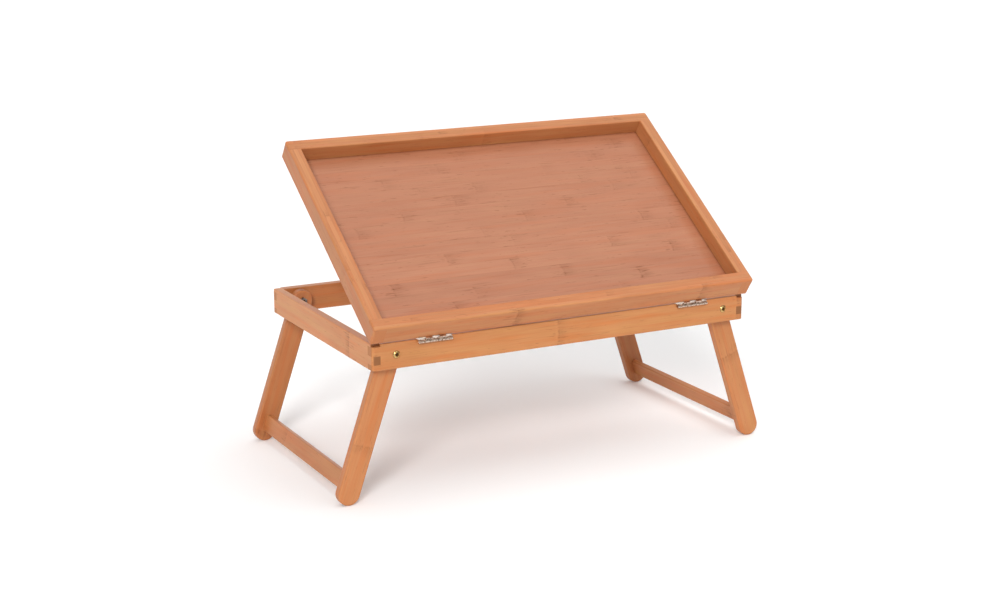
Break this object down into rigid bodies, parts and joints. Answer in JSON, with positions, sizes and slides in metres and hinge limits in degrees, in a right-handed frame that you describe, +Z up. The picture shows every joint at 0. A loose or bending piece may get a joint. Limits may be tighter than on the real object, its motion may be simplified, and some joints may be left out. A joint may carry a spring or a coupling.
{
  "type": "folding tray table",
  "caption": "Bamboo bed tray table: a shallow tray tilts on hinges over a rectangular base frame with two fold-in leg frames.",
  "frame": {"origin": "on the floor, under the middle of the table's box as it stands with the tray raised", "axes": "+X to the right along the tray's length, +Y from the hinged front to the rear, +Z up"},
  "size_m": [0.568, 0.3162, 0.3785],
  "materials": {
    "panel_bamboo": "clear satin lacquer over pressed bamboo strips",
    "tray_bamboo": "clear satin lacquer",
    "base_bamboo": "clear satin lacquer",
    "leg_bamboo": "clear satin lacquer",
    "dowel_wood": "plain",
    "brass": "polished, slightly dulled",
    "hinge_metal": "nickel plated",
    "steel": "zinc plated"
  },
  "bodies": {
    "base_frame": {"base_front_rail": "base_bamboo", "base_rear_rail": "base_bamboo", "base_left_rail": "base_bamboo", "base_right_rail": "base_bamboo", "centre_runner": "base_bamboo", "left_hinge_base_leaf": "hinge_metal", "right_hinge_base_leaf": "hinge_metal", "hinge_pins": "hinge_metal", "hinge_base_screws": "brass", "leg_pivot_screws": "brass", "leg_pivot_washers": "steel", "leg_pivot_nuts": "steel"},
    "tray": {"tray_front_rail": "tray_bamboo", "tray_rear_rail": "tray_bamboo", "tray_left_rail": "tray_bamboo", "tray_right_rail": "tray_bamboo", "tray_panel": "panel_bamboo", "left_hinge_tray_leaf": "hinge_metal", "right_hinge_tray_leaf": "hinge_metal", "hinge_tray_screws": "brass", "left_prop_block": "tray_bamboo", "right_prop_block": "tray_bamboo", "prop_pivot_pins": "steel"},
    "prop": {"left_prop_arm": "tray_bamboo", "right_prop_arm": "tray_bamboo", "clamp_bolt": "steel", "clamp_washers": "steel"},
    "knob": {"clamp_knob": "tray_bamboo", "knob_insert": "brass"},
    "left_legs": {"left_front_leg": "leg_bamboo", "left_rear_leg": "leg_bamboo", "left_stretcher": "leg_bamboo", "left_stretcher_dowels": "dowel_wood"},
    "right_legs": {"right_front_leg": "leg_bamboo", "right_rear_leg": "leg_bamboo", "right_stretcher": "leg_bamboo", "right_stretcher_dowels": "dowel_wood"}
  },
  "joints": [
    {"name": "tray_tilt", "type": "hinge", "parent": "base_frame", "child": "tray", "pos_m": [0, -0.14548, 0.18377], "axis": [1, 0, 0], "range_deg": [-34.35, 8]},
    {"name": "prop_swing", "type": "hinge", "parent": "tray", "child": "prop", "pos_m": [0, -0.03128, 0.25388], "axis": [1, 0, 0], "range_deg": [-16, 68.7]},
    {"name": "knob_turn", "type": "hinge", "parent": "prop", "child": "knob", "pos_m": [0, 0.07552, 0.17296], "axis": [1, 0, 0], "continuous": true},
    {"name": "left_leg_fold", "type": "hinge", "parent": "base_frame", "child": "left_legs", "pos_m": [-0.2171, 0.00672, 0.17237], "axis": [0, -1, 0], "range_deg": [0, 108.65]},
    {"name": "right_leg_fold", "type": "hinge", "parent": "base_frame", "child": "right_legs", "pos_m": [0.2171, 0.00672, 0.17237], "axis": [0, 1, 0], "range_deg": [0, 108.65]}
  ],
  "couplings": [
    {"joint": "prop_swing", "follows": "tray_tilt", "ratio": -2}
  ]
}
